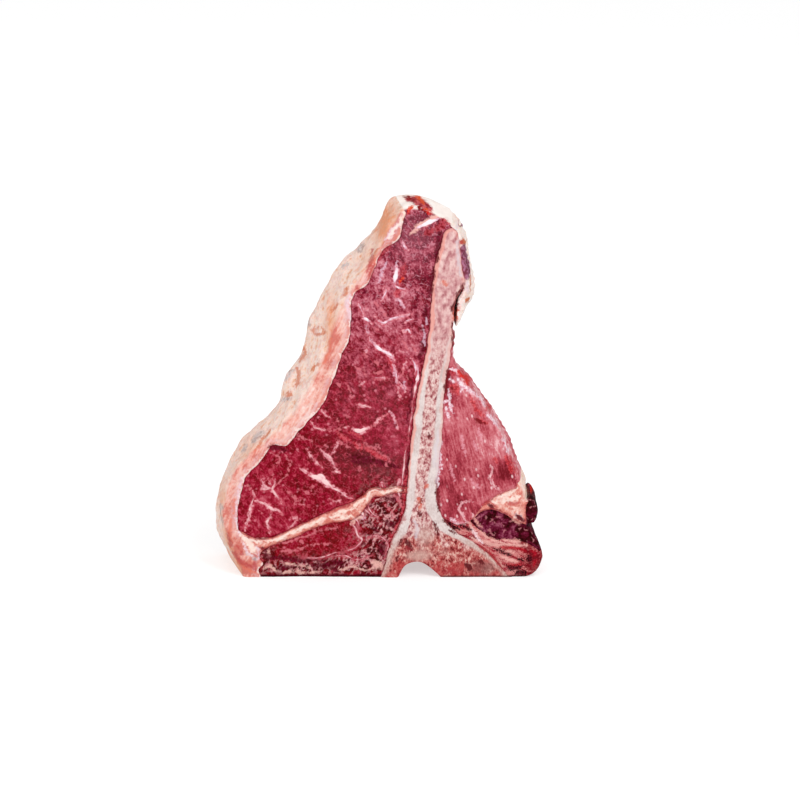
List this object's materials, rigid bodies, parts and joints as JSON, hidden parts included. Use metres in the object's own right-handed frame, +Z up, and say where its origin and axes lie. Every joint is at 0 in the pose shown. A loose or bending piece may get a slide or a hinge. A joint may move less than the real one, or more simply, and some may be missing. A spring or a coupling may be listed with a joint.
{
  "type": "dry-aged t-bone steak",
  "caption": "Thick raw dry-aged t-bone steak standing on its sawn edge, with strip loin, tenderloin, fat cap and a slender bone between them.",
  "frame": {"origin": "middle of the bottom of the steak's box, on the sawn edge it stands on", "axes": "+Z up the steak to its tip, +Y from the pictured cut face through the thickness to the back cut face, +X to the right of the pictured cut face, towards the tenderloin"},
  "size_m": [0.1814, 0.042, 0.2085],
  "materials": {
    "bone": "sawn moist bone, pale hard walls round a pink porous core",
    "strip_meat": "moist deep red grain with pale marbling",
    "cap_fat": "waxy cream and peach fat, drier and greyer outside",
    "back_meat": "moist dark red grain with pink streaks",
    "tenderloin_meat": "moist rose red, fine slanting grain",
    "kidney_fat": "soft flaky pink fat",
    "dark_crust": "almost black dried crust over dark meat",
    "chine_tissue": "sinewy, red and cream streaks",
    "flank_fat": "thin pale membrane with dried purple patches"
  },
  "bodies": {
    "root": {"t_bone": "bone", "strip_loin": "strip_meat", "fat_cap": "cap_fat", "back_muscle": "back_meat", "tenderloin": "tenderloin_meat", "kidney_fat": "kidney_fat", "side_muscle": "dark_crust", "chine_tissue": "chine_tissue", "flank_flap": "flank_fat"}
  },
  "joints": []
}
